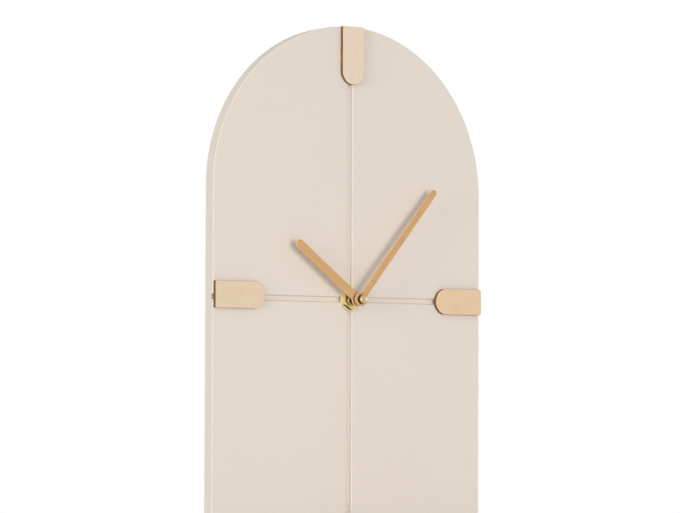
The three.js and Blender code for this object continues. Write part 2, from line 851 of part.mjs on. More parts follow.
// Motion work: minute arbor, centre wheel, reduction wheel and hour wheel
function minuteShaft() {
  const pinionBack = motionLayer - pinionOverlap;
  const pinionFront = motionLayer + motionWheel + pinionOverlap;
  return join(
    rod(centre, minutePivot, pivotBack, centreLayer),
    rod(centre, centreSeat, centreLayer - pinionOverlap, pinionBack + pinionOverlap),
    gear(centre, teeth.minutePinion, motionModule, 0, pinionTooth, pinionBack, pinionFront),
    rod(centre, minuteArbor, pinionFront - pinionOverlap, arborEnd, medium),
  );
}
piece('minute_arbor', minuteShaft(), steel);

function centreWheel() {
  const back = centreLayer;
  const front = centreLayer + trainWheel;
  const wheel = gear(centre, teeth.centreWheel, centreModule, 0, wheelTooth, back, front);
  return cut(wheel, rod(centre, centreSeat + seat, back - 1, front + 1, medium));
}
piece('centre_wheel', centreWheel(), brass);

const reductionPhase = meshPhase(teeth.minutePinion, 0, centre, teeth.reductionWheel, reductionAt);

function reductionWheel() {
  const pinionBack = hourLayer - pinionOverlap;
  const pinionFront = hourLayer + motionWheel + pinionOverlap;
  return join(
    rod(reductionAt, reductionArbor, pivotBack, pivotEnd),
    gear(
      reductionAt, teeth.reductionWheel, motionModule, reductionPhase, wheelTooth,
      motionLayer, motionLayer + motionWheel,
    ),
    rod(reductionAt, 2 * reductionArbor, motionLayer + motionWheel / 2, hourLayer),
    gear(reductionAt, teeth.reductionPinion, motionModule, 0, pinionTooth, pinionBack, pinionFront),
  );
}
piece('reduction_wheel', reductionWheel(), whitePlastic);

function hourWheel() {
  const phase = meshPhase(teeth.reductionPinion, 0, reductionAt, teeth.hourWheel, centre);
  const bore = minuteArbor + running;
  const end = hourFront + seat;
  return cut(
    join(
      gear(centre, teeth.hourWheel, motionModule, phase, wheelTooth, hourLayer, hourLayer + motionWheel),
      rod(centre, hourPipe, hourLayer, end, medium),
    ),
    rod(centre, bore, hourLayer - 1, end + 1, medium),
  );
}
piece('hour_wheel', hourWheel(), whitePlastic);

// Train: each wheel with its pinion and arbor in one piece
function trainPiece(at, wheel, pinion) {
  const wheelBody = gear(
    at, wheel.count, wheel.module, wheel.phase, wheelTooth,
    wheel.layer, wheel.layer + trainWheel,
  );
  const pinionBody = gear(
    at, pinion.count, pinion.module, pinion.phase, leafTooth,
    pinion.layer - pinionOverlap, pinion.layer + trainWheel + pinionOverlap,
  );
  return join(rod(at, trainArbor, pivotBack, pivotEnd), wheelBody, pinionBody);
}

const thirdWheel = { count: teeth.thirdWheel, module: trainModule, phase: 0, layer: thirdLayer };
const thirdPinion = {
  count: teeth.thirdPinion,
  module: centreModule,
  phase: meshPhase(teeth.centreWheel, 0, centre, teeth.thirdPinion, thirdAt),
  layer: centreLayer,
};
piece('third_wheel', trainPiece(thirdAt, thirdWheel, thirdPinion), whitePlastic);

const secondWheel = { count: teeth.secondWheel, module: secondModule, phase: 0, layer: centreLayer };
const secondPinion = {
  count: teeth.secondPinion,
  module: trainModule,
  phase: meshPhase(teeth.thirdWheel, 0, thirdAt, teeth.secondPinion, secondAt),
  layer: thirdLayer,
};
piece('second_wheel', trainPiece(secondAt, secondWheel, secondPinion), whitePlastic);

const intermediateWheel = {
  count: teeth.intermediateWheel,
  module: trainModule,
  phase: 0,
  layer: motionLayer,
};
const intermediatePinion = {
  count: teeth.intermediatePinion,
  module: secondModule,
  phase: meshPhase(teeth.secondWheel, 0, secondAt, teeth.intermediatePinion, intermediateAt),
  layer: centreLayer,
};
piece('intermediate_wheel', trainPiece(intermediateAt, intermediateWheel, intermediatePinion), whitePlastic);

// Rotor: a ring magnet on a plastic pinion
const magnetBack = statorBack + statorThickness / 2 - magnetThickness / 2;

function rotorPinion() {
  const phase = meshPhase(teeth.intermediateWheel, 0, intermediateAt, teeth.rotorPinion, rotorAt);
  return join(
    rod(rotorAt, trainArbor, pivotBack, pivotEnd),
    rod(rotorAt, rotorHub, magnetBack, magnetBack + magnetThickness),
    gear(
      rotorAt, teeth.rotorPinion, trainModule, phase, leafTooth,
      motionLayer - pinionOverlap, motionLayer + trainWheel + pinionOverlap,
    ),
  );
}
piece('rotor_pinion', rotorPinion(), whitePlastic);

const magnetFront = magnetBack + magnetThickness;
const magnetBody = rod(rotorAt, magnetRadius, magnetBack, magnetFront, medium);
const magnetBore = rod(rotorAt, rotorHub + seat, magnetBack - 1, magnetFront + 1);
piece('rotor_magnet', cut(magnetBody, magnetBore), ferrite);

// Setting knob: ribbed, in its well, on an arbor that reaches the reduction wheel
function settingArbor() {
  const phase = meshPhase(teeth.reductionWheel, reductionPhase, reductionAt, teeth.settingPinion, settingAt);
  return join(
    rod(settingAt, settingShaft, knobRecess + knobThickness / 2, pivotEnd),
    gear(
      settingAt, teeth.settingPinion, motionModule, phase, pinionTooth,
      motionLayer - pinionOverlap, motionLayer + motionWheel + pinionOverlap,
    ),
  );
}
piece('setting_arbor', settingArbor(), whitePlastic);

function settingKnob() {
  const points = [];
  for (let i = 0; i < 2 * knobRibs; i++) {
    const radius = i % 2 ? knobRadius - ribDepth : knobRadius;
    const angle = (Math.PI * i) / knobRibs;
    points.push(new THREE.Vector2(radius * Math.cos(angle), radius * Math.sin(angle)));
  }
  const disc = prism(new THREE.Shape(points), knobRecess, knobRecess + knobThickness);
  const socket = rod(settingAt, settingShaft + seat, knobRecess + knobThickness / 2 - seat, bridgeBack);
  return cut(disc.translate([settingAt.x, settingAt.y, 0]), socket);
}
piece('setting_knob', settingKnob(), blackPlastic);

clock.rotation.x = Math.PI / 2;

export default clock;
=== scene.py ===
"""Looks of an arch-topped wall clock: fine shapes, finishes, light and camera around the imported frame.

Lengths are in metres, in the part's frame: x right, y into the wall, z up, the hands on the y axis.
"""
import math

import bmesh
import bpy
from mathutils import Matrix, Vector


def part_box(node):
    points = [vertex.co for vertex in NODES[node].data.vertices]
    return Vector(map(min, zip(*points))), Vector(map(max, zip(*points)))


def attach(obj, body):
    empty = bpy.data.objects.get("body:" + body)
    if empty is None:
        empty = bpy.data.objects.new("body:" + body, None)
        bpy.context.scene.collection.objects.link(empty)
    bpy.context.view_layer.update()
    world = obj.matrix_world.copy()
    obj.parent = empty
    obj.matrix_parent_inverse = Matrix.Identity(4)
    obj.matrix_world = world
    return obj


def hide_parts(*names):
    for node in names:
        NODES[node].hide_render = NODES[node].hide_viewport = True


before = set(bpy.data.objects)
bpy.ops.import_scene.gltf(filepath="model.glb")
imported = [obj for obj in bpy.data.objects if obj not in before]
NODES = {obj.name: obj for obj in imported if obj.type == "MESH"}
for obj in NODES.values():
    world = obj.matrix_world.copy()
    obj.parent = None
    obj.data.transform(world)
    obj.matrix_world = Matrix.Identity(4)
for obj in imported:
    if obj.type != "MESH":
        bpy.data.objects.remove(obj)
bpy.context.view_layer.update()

MM = 0.001
OUT = Vector((0, -1, 0))  # from the wall towards the viewer


# Shader writing


class Value:
    """A number, vector or colour that varies over a surface. Arithmetic on numbers adds Math nodes."""

    def __init__(self, shader, socket):
        self.shader = shader
        self.socket = socket

    def math(self, operation, *numbers):
        return self.shader.add("ShaderNodeMath", {"operation": operation}, dict(enumerate(numbers)))

    def __add__(self, other):
        return self.math("ADD", self, other)

    def __radd__(self, other):
        return self.math("ADD", other, self)

    def __sub__(self, other):
        return self.math("SUBTRACT", self, other)

    def __rsub__(self, other):
        return self.math("SUBTRACT", other, self)

    def __mul__(self, other):
        return self.math("MULTIPLY", self, other)

    def __rmul__(self, other):
        return self.math("MULTIPLY", other, self)

    def __pow__(self, other):
        return self.math("POWER", self, other)

    def __abs__(self):
        return self.math("ABSOLUTE", self)


class Shader:
    """The node tree of a material or of the world, written node by node."""

    def __init__(self, owner):
        owner.use_nodes = True
        self.owner = owner
        self.tree = owner.node_tree
        self.tree.nodes.clear()

    def add(self, kind, settings, sockets, output=0):
        """A node of that kind: its settings first, then the values or links of its sockets.

        Gives the named output, or a list of them where several are named.
        """
        node = self.tree.nodes.new(kind)
        for name, value in settings.items():
            if name == "stops":
                self.set_stops(node.color_ramp, value)
            else:
                setattr(node, name, value)
        for key, value in sockets.items():
            if isinstance(value, Value):
                self.tree.links.new(value.socket, node.inputs[key])
            else:
                node.inputs[key].default_value = value
        if isinstance(output, tuple):
            return [Value(self, node.outputs[key]) for key in output]
        return Value(self, node.outputs[output]) if node.outputs else None

    def set_stops(self, ramp, stops):
        while len(ramp.elements) < len(stops):
            ramp.elements.new(1.0)
        for element, (position, colour) in zip(ramp.elements, stops):
            element.position = position
            element.color = (*colour, 1.0)

    def place(self):
        """Where a point lies, in the part's frame."""
        return self.add("ShaderNodeTexCoord", {}, {}, "Object")

    def stretched(self, scale, turn):
        """The place turned back about the dial's axis, then scaled along x, y and z."""
        sockets = {"Vector": self.place(), "Rotation": (0, turn, 0)}
        upright = self.add("ShaderNodeMapping", {"vector_type": "TEXTURE"}, sockets)
        return self.add("ShaderNodeMapping", {"vector_type": "POINT"}, {"Vector": upright, "Scale": scale})

    def axes(self, vector):
        return self.add("ShaderNodeSeparateXYZ", {}, {0: vector}, ("X", "Y", "Z"))

    def from_axis(self):
        """Distance from the axis that the hands turn about."""
        x, _, z = self.axes(self.place())
        return (x * x + z * z) ** 0.5

    def noise(self, scale, detail=2.0, roughness=0.5, turn=0.0):
        """Soft noise from 0 to 1. The scale is one number, or one for each axis."""
        scale = scale if isinstance(scale, tuple) else (scale, scale, scale)
        sockets = {"Vector": self.stretched(scale, turn), "Scale": 1.0}
        sockets.update({"Detail": detail, "Roughness": roughness})
        return self.add("ShaderNodeTexNoise", {}, sockets, "Fac")

    def between(self, value, low, high):
        """0 below low, 1 above high, and an even slope between them."""
        sockets = {"Value": value, "From Min": low, "From Max": high}
        return self.add("ShaderNodeMapRange", {"clamp": True}, sockets)

    def wave(self, value, pitch):
        """A wave from 0 to 1 that repeats at each pitch."""
        sine = self.add("ShaderNodeMath", {"operation": "SINE"}, {0: value * (math.tau / pitch)})
        return 0.5 + 0.5 * sine

    def ramp(self, factor, stops):
        return self.add("ShaderNodeValToRGB", {"stops": stops}, {"Fac": factor})

    def mix(self, factor, first, second):
        first, second = [c if isinstance(c, Value) else (*c, 1.0) for c in (first, second)]
        settings = {"data_type": "RGBA", "blend_type": "MIX"}
        return self.add("ShaderNodeMix", settings, {0: factor, 6: first, 7: second}, 2)

    def relief(self, height, depth):
        """Fine relief of that depth where the height goes from 0 to 1."""
        return self.add("ShaderNodeBump", {}, {"Height": height, "Distance": depth})

    def facing_out(self):
        """1 on faces that look along the dial's axis, 0 on the sides of a flat piece."""
        normal = self.add("ShaderNodeNewGeometry", {}, {}, "Normal")
        return self.between(abs(self.axes(normal)[1]), 0.55, 0.8)

    def finish(self, colour, roughness, relief, metallic=0.0, gloss=0.5):
        """Ends a material in a Principled shader and gives the material."""
        sockets = {"Base Color": colour, "Roughness": roughness, "Normal": relief}
        sockets.update({"Metallic": metallic, "Specular IOR Level": gloss})
        surface = self.add("ShaderNodeBsdfPrincipled", {}, sockets)
        self.add("ShaderNodeOutputMaterial", {}, {"Surface": surface})
        return self.owner


def new_material(name):
    return Shader(bpy.data.materials.new(name))


def rgb(red, green, blue):
    """Linear colour of an sRGB colour given in steps of 255."""

    def linear(step):
        share = step / 255
        return share / 12.92 if share <= 0.04045 else ((share + 0.055) / 1.055) ** 2.4

    return linear(red), linear(green), linear(blue)


# Finishes


def cream_paint():
    """Satin paint on fibreboard: a sprayed skin with a fine orange peel and hardly any shift of tone."""
    f = new_material("cream_paint")
    colour = f.mix(f.noise(7, 1.0), rgb(224, 213, 200), rgb(228, 218, 206))
    roughness = 0.44 + 0.1 * f.noise(55)
    return f.finish(colour, roughness, f.relief(f.noise(620), 0.02 * MM), gloss=0.3)


def grain(f, turn, along, across):
    """Streaks along a strip of wood that points up before its turn, and the pores between them."""
    waver = f.noise((60, 60, 18), 1.0, turn=turn)
    streaks = f.noise((across, across, along), 3.0, 0.6, turn)
    pores = f.noise((5 * across, 5 * across, 4 * along), 1.0, turn=turn)
    return 0.72 * streaks + 0.28 * waver, f.between(pores, 0.6, 0.78)


def marker_wood(name, turn, pale, deep):
    """Pale laser-cut wood: faint grain on the face, browned edges."""
    f = new_material(name)
    streaks, pores = grain(f, turn, 30, 420)
    face = f.mix(f.between(streaks, 0.2, 0.8), pale, deep)
    face = f.mix(0.25 * pores, face, rgb(190, 152, 110))
    char = f.noise((140, 900, 140), 3.0)
    burnt = f.ramp(char, [(0.3, rgb(88, 56, 26)), (0.5, rgb(122, 82, 44)), (0.75, rgb(154, 110, 64))])
    face_on = f.facing_out()
    colour = f.mix(face_on, burnt, face)
    return f.finish(colour, 0.72 - 0.14 * face_on, f.relief(streaks - 0.5 * pores, 0.03 * MM), gloss=0.25)


def hand_wood(name, turn, painted_shade_radius):
    """Tan veneer whose grain runs along the hand, with painted shade in dark brown round the bore out to a
    radius.
    """
    f = new_material(name)
    streaks, pores = grain(f, turn, 35, 900)
    tan = f.ramp(streaks, [(0.3, rgb(195, 146, 96)), (0.5, rgb(206, 161, 109)), (0.7, rgb(214, 174, 125))])
    face = f.mix(0.45 * pores, tan, rgb(168, 116, 68))
    # Painted shade: dark brown on the face out to this radius round the bore, where the other hub and the
    # cap nut shade it.
    clear = f.between(f.from_axis(), painted_shade_radius - 0.5 * MM, painted_shade_radius)
    face = f.mix(clear, rgb(84, 46, 18), face)
    edge = f.mix(streaks, rgb(206, 160, 108), rgb(226, 186, 138))
    colour = f.mix(f.facing_out(), edge, face)
    return f.finish(colour, 0.56 + 0.1 * pores, f.relief(streaks - 0.6 * pores, 0.03 * MM), gloss=0.3)


def bright_brass(name, tone, ring_pitch=None, painted_dark_facets=False, roughness=0.18, metallic=1.0):
    """Brass with a soft bloom, and the rings of the lathe where a pitch is given.

    Where asked, the faces that look down are painted dark, and the front a little darker than the sides:
    painted shade and painted dark reflections.
    """
    f = new_material(name)
    bloom = f.noise(260, 3.0)
    warm, dull = (tuple(share * channel for channel in tone) for share in (0.96, 0.76))
    colour = f.ramp(bloom, [(0.3, warm), (0.6, tone), (0.8, dull)])
    if painted_dark_facets:
        normal = f.add("ShaderNodeNewGeometry", {}, {}, "Normal")
        _, y, z = f.axes(normal)
        # Painted shade: dark bronze on faces that look down and, more lightly, on faces that look out, set
        # by their direction alone.
        painted_shade = 0.95 * f.between(z, -0.3, -0.7) + 0.3 * f.between(y, -0.6, -0.9)
        colour = f.mix(painted_shade, colour, rgb(76, 58, 24))
    height = f.noise(900)
    if ring_pitch:
        height = 0.4 * height + f.wave(f.from_axis(), ring_pitch)
    return f.finish(colour, roughness + 0.16 * bloom, f.relief(height, 0.008 * MM), metallic=metallic)


def moulded_plastic(name, colour, roughness, texture=0.02 * MM):
    """Moulded plastic with a fine spark-eroded texture and slight changes of gloss."""
    f = new_material(name)
    shade = tuple(0.82 * channel for channel in colour)
    wear = roughness + 0.12 * (f.noise(130, 3.0) - 0.5)
    pits = f.relief(f.noise(2400, 1.0), texture)
    return f.finish(f.mix(f.noise(40), shade, colour), wear, pits, gloss=0.4)


def plated_metal(name, colour, roughness):
    """Rolled metal with fine scratches along it."""
    f = new_material(name)
    scratches = f.noise((2600, 2600, 90))
    shade = tuple(0.85 * channel for channel in colour)
    wear = roughness + 0.15 * (scratches - 0.5)
    return f.finish(f.mix(f.noise(90), shade, colour), wear, f.relief(scratches, 0.006 * MM), metallic=1.0)


def wound_copper():
    """Enamelled wire in close turns round the coil's core, which lies along x."""
    f = new_material("wound_copper")
    turns = f.wave(f.axes(f.place())[0], 0.12 * MM)
    colour = f.mix(turns, rgb(120, 54, 22), rgb(196, 112, 58))
    return f.finish(colour, 0.32, f.relief(turns, 0.05 * MM), metallic=1.0)


def circuit_laminate():
    """Green laminate with the weave of its glass cloth."""
    f = new_material("circuit_laminate")
    x, _, z = f.axes(f.place())
    weave = f.wave(x, 0.6 * MM) * f.wave(z, 0.6 * MM)
    return f.finish(f.mix(weave, rgb(32, 78, 44), rgb(52, 108, 64)), 0.4, f.relief(weave, 0.01 * MM))


def battery_sleeve():
    """Sleeve round the cell: slate grey, a pale band at the positive end, bare metal at both ends."""
    f = new_material("battery_sleeve")
    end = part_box("aa_battery")[1].x
    band_start = end - 12.2 * MM
    bare_start = end - 2 * MM
    x = f.axes(f.place())[0]
    band = f.between(x, band_start, band_start + 0.2 * MM)
    metal = f.between(abs(x), bare_start, bare_start + 0.1 * MM)
    scuff = f.noise((220, 900, 900), 4.0)
    sleeve = f.mix(band, rgb(62, 78, 94), rgb(196, 200, 198))
    sleeve = f.mix(0.25 * f.between(scuff, 0.55, 0.75), sleeve, rgb(150, 156, 160))
    colour = f.mix(metal, sleeve, rgb(206, 206, 202))
    return f.finish(colour, 0.3 + 0.1 * scuff, f.relief(scuff, 0.01 * MM), metallic=metal)


# Mesh making
TOUCH = 1e-7  # drawn points closer than this are one point
WELD = 1e-6  # corners of a CAD node closer than this are one corner
SLIVER = math.radians(1)  # faces of a CAD node that meet at less than this are one face
SHARP = 0.9  # least angle of an edge that is rounded, in radians


def finished(name, mesh, material, body, node):
    """A piece from its bmesh, on its body and in place of the CAD node that it stands for."""
    data = bpy.data.meshes.new(name)
    mesh.to_mesh(data)
    mesh.free()
    piece = bpy.data.objects.new(name, data)
    bpy.context.scene.collection.objects.link(piece)
    dress(piece, material)
    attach(piece, body)
    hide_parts(node)
    return piece


def dress(piece, material):
    piece.data.materials.clear()
    piece.data.materials.append(material)


def soften(piece, angle=34):
    """Smooth shading up to an angle, at outward and inward edges alike, with the large faces kept flat."""
    mesh = bmesh.new()
    mesh.from_mesh(piece.data)
    for face in mesh.faces:
        face.smooth = True
    for edge in mesh.edges:
        edge.smooth = edge.is_manifold and edge.calc_face_angle() < math.radians(angle)
    mesh.to_mesh(piece.data)
    mesh.free()
    weighted = piece.modifiers.new("flat_faces", "WEIGHTED_NORMAL")
    weighted.keep_sharp = True
    weighted.weight = 90


def arc(mesh, corner, centre, angle, steps):
    """Sweeps a corner about the dial's direction and gives the corner at the arc's end."""
    swept = bmesh.ops.spin(
        mesh, geom=[corner], cent=centre, axis=(0, 1, 0), dvec=(0, 0, 0),
        angle=angle, steps=steps, use_merge=False,
    )
    return [item for item in swept["geom_last"] if isinstance(item, bmesh.types.BMVert)][0]


def line(mesh, corner, place):
    """Draws an edge from a corner to a place and gives the new corner."""
    end = mesh.verts.new(place)
    mesh.edges.new((corner, end))
    return end


def fill(mesh):
    """Makes the drawn outline a face."""
    bmesh.ops.remove_doubles(mesh, verts=mesh.verts, dist=TOUCH)
    bmesh.ops.edgeloop_fill(mesh, edges=mesh.edges)


def raise_to(mesh, back, front):
    """Gives a flat face its thickness along the dial's axis."""
    bmesh.ops.translate(mesh, verts=mesh.verts, vec=(0, back, 0))
    grown = bmesh.ops.extrude_face_region(mesh, geom=mesh.faces[:])
    moved = [item for item in grown["geom"] if isinstance(item, bmesh.types.BMVert)]
    bmesh.ops.translate(mesh, verts=moved, vec=(0, front - back, 0))
    bmesh.ops.recalc_face_normals(mesh, faces=mesh.faces)


def round_rims(mesh, rounding, segments):
    """Rounds the edges of a flat piece's front and back."""
    rims = [e for e in mesh.edges if abs(e.verts[0].co.y - e.verts[1].co.y) < TOUCH]
    bmesh.ops.bevel(
        mesh, geom=rims, offset=rounding, segments=segments, profile=0.5, affect="EDGES", material=-1
    )


def turned(profile, axis, steps):
    """A closed ring or solid of revolution from [radius, place along the axis] points."""
    mesh = bmesh.new()
    side = Vector((0, 0, 1))
    ring = [mesh.verts.new(side * radius + axis * along) for radius, along in profile]
    edges = [mesh.edges.new(pair) for pair in zip(ring, ring[1:])]
    if profile[0][0] > 0:
        edges.append(mesh.edges.new((ring[-1], ring[0])))
    bmesh.ops.spin(
        mesh, geom=ring + edges, cent=(0, 0, 0), axis=axis, dvec=(0, 0, 0),
        angle=math.tau, steps=steps, use_merge=True,
    )
    bmesh.ops.remove_doubles(mesh, verts=mesh.verts, dist=TOUCH)
    bmesh.ops.recalc_face_normals(mesh, faces=mesh.faces)
    return mesh


def rod(radius, back, front, steps):
    """A round bar on the dial's axis between two distances from the wall."""
    return turned([(0, back), (radius, back), (radius, front), (0, front)], OUT, steps)


def carve(mesh, tool, operation="DIFFERENCE"):
    """The mesh with another one cut out of it or joined to it, or kept only where they meet."""
    objects = []
    for part in (mesh, tool):
        data = bpy.data.meshes.new("blank")
        part.to_mesh(data)
        part.free()
        objects.append(bpy.data.objects.new("blank", data))
        bpy.context.scene.collection.objects.link(objects[-1])
    body, cutter = objects
    cut = body.modifiers.new("cut", "BOOLEAN")
    cut.object = cutter
    cut.operation = operation
    cut.solver = "EXACT"
    result = bmesh.new()
    result.from_object(body, bpy.context.evaluated_depsgraph_get())
    for used in objects:
        data = used.data
        bpy.data.objects.remove(used)
        bpy.data.meshes.remove(data)
    return result


def copy_of(node):
    """A CAD node's shape as one joined mesh of plain faces."""
    mesh = bmesh.new()
    mesh.from_mesh(NODES[node].data)
    bmesh.ops.remove_doubles(mesh, verts=mesh.verts, dist=WELD)
    bmesh.ops.dissolve_limit(mesh, angle_limit=SLIVER, verts=mesh.verts, edges=mesh.edges)
    return mesh


def round_edges(mesh, offset, shortest):
    """Rounds the long sharp edges that stick out."""
    ridges = [e for e in mesh.edges if len(e.link_faces) == 2 and e.is_convex]
    sharp = [e for e in ridges if e.calc_face_angle() > SHARP and e.calc_length() > shortest]
    bmesh.ops.bevel(
        mesh, geom=sharp, offset=offset, segments=2, profile=0.5, affect="EDGES", material=-1,
        clamp_overlap=True,
    )


def angles(first, last, steps):
    """Even steps between two angles in degrees, as radians."""
    return [math.radians(first + (last - first) * i / (steps - 1)) for i in range(steps)]


def depths(node):
    """A node's back and front, as distances from the wall."""
    low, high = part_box(node)
    return -high[1], -low[1]


def radius_of(node):
    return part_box(node)[1][0]


# Board
BOARD_LOW, BOARD_HIGH = (Vector(corner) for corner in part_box("face_board"))
FACE = BOARD_LOW.y
ARCH_RADIUS = BOARD_HIGH.x
ARCH_CENTRE = Vector((0, FACE, BOARD_HIGH.z - ARCH_RADIUS))
BOARD_ROUND = 0.6 * MM
GROOVE_HALF = 1.9 * MM
GROOVE_DEPTH = 2.1 * MM
GROOVE_CORNER = 0.8 * MM
GROOVE_DRAFT = 0.08 * MM
GROOVE_LIP = 0.8 * MM
POCKET_CORNER = 5 * MM
POCKET_PLAY = 2 * MM
POCKET_SEAT = 0.05 * MM
HOLE_RADIUS = 4.2 * MM


def groove_profile():
    """[distance from the groove's middle, depth] points: flat bottom, round corners, round lips."""
    inner = GROOVE_HALF - GROOVE_DRAFT - GROOVE_CORNER
    deep = GROOVE_DEPTH - GROOVE_CORNER
    points = [(0, GROOVE_DEPTH)]
    for a in angles(0, 90, 6):
        points.append((inner + GROOVE_CORNER * math.sin(a), deep + GROOVE_CORNER * math.cos(a)))
    for a in angles(0, 90, 6):
        points.append((GROOVE_HALF + GROOVE_LIP * (1 - math.cos(a)), GROOVE_LIP * (1 - math.sin(a))))
    return points


def groove_depth(offset, profile):
    """Depth of a groove at a distance from its middle."""
    offset = abs(offset)
    for (near, deep), (far, shallow) in zip(profile, profile[1:]):
        if near <= offset <= far:
            return deep + (shallow - deep) * (offset - near) / (far - near)
    return 0.0


def rounded_block(low, high, radius):
    """A block whose edges along the dial's axis are rounded."""
    mesh = bmesh.new()
    middle = (low + high) / 2
    place = Matrix.Translation(middle) @ Matrix.Diagonal((*(high - low), 1))
    bmesh.ops.create_cube(mesh, size=1.0, matrix=place)
    uprights = [e for e in mesh.edges if abs(e.verts[0].co.y - e.verts[1].co.y) > TOUCH]
    bmesh.ops.bevel(mesh, geom=uprights, offset=radius, segments=8, profile=0.5, affect="EDGES", material=-1)
    return mesh


def face_board():
    mesh = bmesh.new()
    foot = mesh.verts.new((BOARD_LOW.x, 0, BOARD_LOW.z))
    corner = line(mesh, foot, (BOARD_HIGH.x, 0, BOARD_LOW.z))
    shoulder = line(mesh, corner, (BOARD_HIGH.x, 0, ARCH_CENTRE.z))
    end = arc(mesh, shoulder, (0, 0, ARCH_CENTRE.z), -math.pi, steps=128)
    mesh.edges.new((end, foot))
    fill(mesh)
    raise_to(mesh, BOARD_HIGH.y, BOARD_LOW.y)
    round_rims(mesh, BOARD_ROUND, segments=5)

    profile = groove_profile()
    for normal in ((1, 0, 0), (0, 0, 1)):
        for distance, _ in profile:
            for side in (-1, 1) if distance else (1,):
                everything = mesh.verts[:] + mesh.edges[:] + mesh.faces[:]
                place = Vector(normal) * distance * side
                bmesh.ops.bisect_plane(mesh, geom=everything, dist=TOUCH, plane_co=place, plane_no=normal)
    for corner in mesh.verts:
        depth = max(groove_depth(corner.co.x, profile), groove_depth(corner.co.z, profile))
        if corner.co.y - FACE < depth:
            corner.co.y = FACE + depth

    low, high = (Vector(c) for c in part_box("case_front"))
    room = Vector((POCKET_PLAY, 0, POCKET_PLAY))
    low, high = low - room, high + room
    low.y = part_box("rubber_gasket")[0][1] - POCKET_SEAT
    high.y = BOARD_HIGH.y + BOARD_ROUND
    mesh = carve(mesh, rounded_block(low, high, POCKET_CORNER))
    back, front = depths("face_board")
    mesh = carve(mesh, rod(HOLE_RADIUS, back, front + MM, steps=48))
    soften(finished("painted_board", mesh, cream_paint(), "clock_body", "face_board"))


# Hour markers: turn in degrees, round of the outer corners, and the two tones of the wood
MARKER_ARRIS = 0.25 * MM
MARKERS = {
    "marker_12": (0, 0.6 * MM, rgb(233, 214, 191), rgb(228, 206, 180)),
    "marker_3": (90, 1.5 * MM, rgb(231, 204, 168), rgb(225, 195, 157)),
    "marker_6": (180, 1.5 * MM, rgb(230, 206, 175), rgb(224, 197, 164)),
    "marker_9": (270, 0.6 * MM, rgb(230, 207, 178), rgb(223, 198, 168)),
}


def marker(node, turn, rounding, pale, deep):
    low, high = (Vector(corner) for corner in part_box(node))
    spin = Matrix.Rotation(math.radians(turn), 4, "Y")
    out = spin @ Vector((0, 0, 1))
    middle = (low + high) / 2
    size = high - low
    length, width = (size.z, size.x) if abs(out.z) > 0.5 else (size.x, size.z)
    half = width / 2

    mesh = bmesh.new()
    first = mesh.verts.new((half, 0, half))
    inner = arc(mesh, first, (0, 0, half), math.pi, steps=40)
    outer = [line(mesh, inner, (-half, 0, length))]
    outer.append(line(mesh, outer[0], (half, 0, length)))
    mesh.edges.new((outer[1], first))
    bmesh.ops.bevel(
        mesh, geom=outer, offset=rounding, segments=5, profile=0.5, affect="VERTICES", material=-1
    )
    fill(mesh)
    raise_to(mesh, high.y, low.y)
    round_rims(mesh, MARKER_ARRIS, segments=2)
    place = Matrix.Translation((middle.x, 0, middle.z)) @ spin @ Matrix.Translation((0, 0, -length / 2))
    bmesh.ops.transform(mesh, matrix=place, verts=mesh.verts)
    wood = marker_wood(node + "_wood", math.radians(turn), pale, deep)
    soften(finished(node + "_plate", mesh, wood, "clock_body", node))


# Hands: body, turn and lean in degrees, length, width, radius of the bore and of the painted shade round it
HUB_RADIUS = 5 * MM
HAND_THICKNESS = 2 * MM
HAND_ARRIS = 0.22 * MM
HANDS = {
    "hour_hand": ("hour_works", -52.4, 1.5, 67 * MM, 6.4 * MM, 2.6 * MM, 4.8 * MM),
    "minute_hand": ("minute_works", 41.1, 2.6, 108.9 * MM, 4.7 * MM, 1.7 * MM, 3.8 * MM),
}


def hand(node, body, turn, lean, length, width, hole_radius, painted_shade_radius):
    """A round hub and a stick that leans back towards the board."""
    half = width / 2
    front = depths(node)[1]
    back = front - HAND_THICKNESS
    stick = bmesh.new()
    foot = stick.verts.new((-half, 0, 0))
    tip = line(stick, foot, (-half, 0, length - half))
    last = arc(stick, tip, (0, 0, length - half), math.pi, steps=20)
    stick.edges.new((line(stick, last, (half, 0, 0)), foot))
    fill(stick)
    raise_to(stick, HAND_THICKNESS / 2, -HAND_THICKNESS / 2)
    round_rims(stick, HAND_ARRIS, segments=3)
    slant = Matrix.Translation(OUT * (front + back) / 2) @ Matrix.Rotation(math.radians(-lean), 4, "X")
    bmesh.ops.transform(stick, matrix=slant, verts=stick.verts)

    edge = HUB_RADIUS - HAND_ARRIS
    rim = [(0, back), (edge, back), (HUB_RADIUS, back + HAND_ARRIS), (HUB_RADIUS, front - HAND_ARRIS)]
    for a in angles(30, 90, 3):
        rim.append((edge + HAND_ARRIS * math.cos(a), front - HAND_ARRIS * (1 - math.sin(a))))
    mesh = carve(turned(rim + [(0, front)], OUT, steps=56), stick, "UNION")
    mesh = carve(mesh, rod(hole_radius, back - MM, front + MM, steps=40))
    spin = Matrix.Rotation(math.radians(turn), 4, "Y")
    bmesh.ops.transform(mesh, matrix=spin, verts=mesh.verts)
    wood = hand_wood(node + "_wood", math.radians(turn), painted_shade_radius)
    soften(finished(node + "_stick", mesh, wood, body, node))


# Brass on the dial


def brass_washer():
    back, front = depths("brass_washer")
    outer = radius_of("brass_washer")
    arris = 0.12 * MM
    profile = [
        (HOLE_RADIUS, back),
        (outer - arris, back),
        (outer, back + arris),
        (outer, front - 2 * arris),
        (outer - 0.6 * arris, front - 0.6 * arris),
        (outer - 2 * arris, front),
        (HOLE_RADIUS, front),
    ]
    mesh = turned(profile, OUT, steps=72)
    brass = bright_brass("washer_brass", rgb(218, 207, 174), 0.35 * MM, roughness=0.45, metallic=0.35)
    soften(finished("turned_washer", mesh, brass, "clock_body", "brass_washer"))


